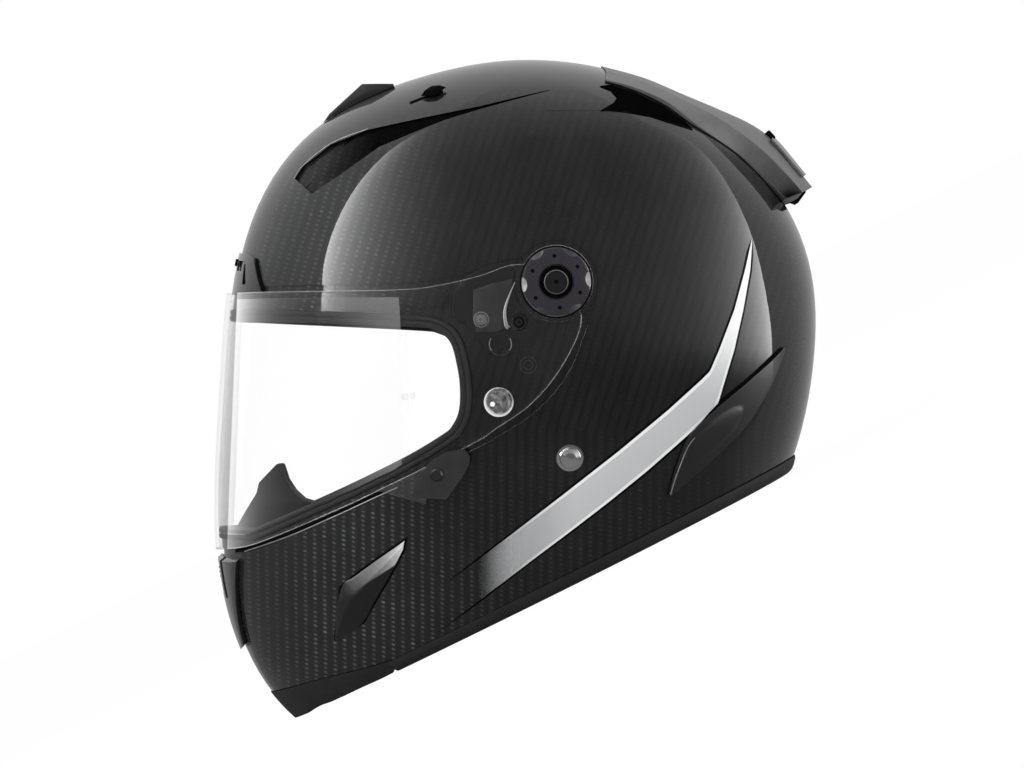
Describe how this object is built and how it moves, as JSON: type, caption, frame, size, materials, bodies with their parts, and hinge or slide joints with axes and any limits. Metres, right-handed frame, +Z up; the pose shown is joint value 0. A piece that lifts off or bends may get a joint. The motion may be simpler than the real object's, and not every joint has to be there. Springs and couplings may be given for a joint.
{
  "type": "full face motorcycle helmet",
  "caption": "Full face motorcycle helmet of carbon laminate with a clear visor hinged at the temples, sliding vents, rear spoiler, foam liner, cheek pads and chin strap.",
  "frame": {"origin": "centre of the bounding box in plan, on the plane of the neck edge that the helmet stands on", "axes": "+Z up when it stands on its neck edge, -Y the way the face looks, +X the wearer's left"},
  "size_m": [0.2594, 0.3521, 0.2628],
  "materials": {
    "carbon_laminate": "woven carbon laminate under gloss clear coat",
    "trim_rubber": "matt moulded rubber",
    "clear_lens": "clear polycarbonate",
    "gloss_black": "gloss moulded plastic",
    "satin_plastic": "satin moulded plastic",
    "polished_metal": "polished",
    "plain_steel": "plated",
    "impact_foam": "moulded bead foam",
    "lining_fabric": "knitted lining"
  },
  "bodies": {
    "helmet": {"outer_shell": "carbon_laminate", "neck_edge_trim": "trim_rubber", "eyeport_seal": "trim_rubber", "visor_base_plate_left": "satin_plastic", "visor_base_plate_right": "satin_plastic", "base_plate_screws": "plain_steel", "pivot_cover_left": "satin_plastic", "pivot_cover_right": "satin_plastic", "impact_liner": "impact_foam", "chin_bar_foam": "impact_foam", "crown_lining": "lining_fabric", "cheek_pad_left": "lining_fabric", "cheek_pad_right": "lining_fabric", "neck_roll": "lining_fabric", "nose_guard": "trim_rubber", "chin_curtain": "lining_fabric", "chin_vent_housing": "gloss_black", "side_vent_left": "gloss_black", "side_vent_right": "gloss_black", "brow_vent_housing": "gloss_black", "crown_scoop": "gloss_black", "rear_spoiler": "gloss_black", "spoiler_lip": "clear_lens", "spoiler_outlet": "satin_plastic", "exhaust_grille_left": "satin_plastic", "exhaust_grille_right": "satin_plastic", "rear_extractor_left": "gloss_black", "rear_extractor_right": "gloss_black", "strap_rivets": "polished_metal", "strap_anchors": "plain_steel", "chin_strap_left": "lining_fabric", "chin_strap_right": "lining_fabric", "strap_snap": "satin_plastic"},
    "visor": {"visor_lens": "clear_lens", "antifog_insert": "clear_lens", "antifog_pins": "satin_plastic", "visor_lock_flange": "satin_plastic", "lock_flange_button": "polished_metal", "tearoff_posts": "clear_lens"},
    "chin_slider": {"chin_vent_slider": "satin_plastic"},
    "brow_slider": {"brow_vent_slider": "satin_plastic"},
    "crown_slider_left": {"crown_vent_slider_left": "satin_plastic"},
    "crown_slider_right": {"crown_vent_slider_right": "satin_plastic"},
    "button_left": {"release_button_left": "satin_plastic"},
    "button_right": {"release_button_right": "satin_plastic"},
    "ring_lower": {"d_ring_lower": "polished_metal"},
    "ring_upper": {"d_ring_upper": "polished_metal"}
  },
  "joints": [
    {"name": "visor_hinge", "type": "hinge", "parent": "helmet", "child": "visor", "pos_m": [0, 0.04137, 0.1325], "axis": [-1, 0, 0], "range_deg": [0, 50]},
    {"name": "chin_vent_slide", "type": "slide", "parent": "helmet", "child": "chin_slider", "axis": [0, -0.2997, -0.954], "range_m": [0, 0.006]},
    {"name": "brow_vent_slide", "type": "slide", "parent": "helmet", "child": "brow_slider", "axis": [0, -0.6109, -0.7917], "range_m": [0, 0.004]},
    {"name": "crown_vent_slide_left", "type": "slide", "parent": "helmet", "child": "crown_slider_left", "axis": [0.0554, -0.9912, 0.1204], "range_m": [0, 0.008]},
    {"name": "crown_vent_slide_right", "type": "slide", "parent": "helmet", "child": "crown_slider_right", "axis": [-0.0554, -0.9912, 0.1204], "range_m": [0, 0.008]},
    {"name": "release_button_press_left", "type": "slide", "parent": "helmet", "child": "button_left", "axis": [-1, 0, 0], "range_m": [0, 0.0015], "stiffness_N_per_m": 500, "springref_m": -0.001},
    {"name": "release_button_press_right", "type": "slide", "parent": "helmet", "child": "button_right", "axis": [1, 0, 0], "range_m": [0, 0.0015], "stiffness_N_per_m": 500, "springref_m": -0.001},
    {"name": "ring_swing_lower", "type": "hinge", "parent": "helmet", "child": "ring_lower", "pos_m": [0.041, 0.0102, 0.0021], "axis": [0, 1, 0], "range_deg": [0, 24]},
    {"name": "ring_swing_upper", "type": "hinge", "parent": "helmet", "child": "ring_upper", "pos_m": [0.041, 0.0102, 0.0063], "axis": [0, 1, 0], "range_deg": [0, 24]}
  ],
  "couplings": [
    {"joint": "ring_swing_upper", "follows": "ring_swing_lower", "ratio": 1}
  ]
}
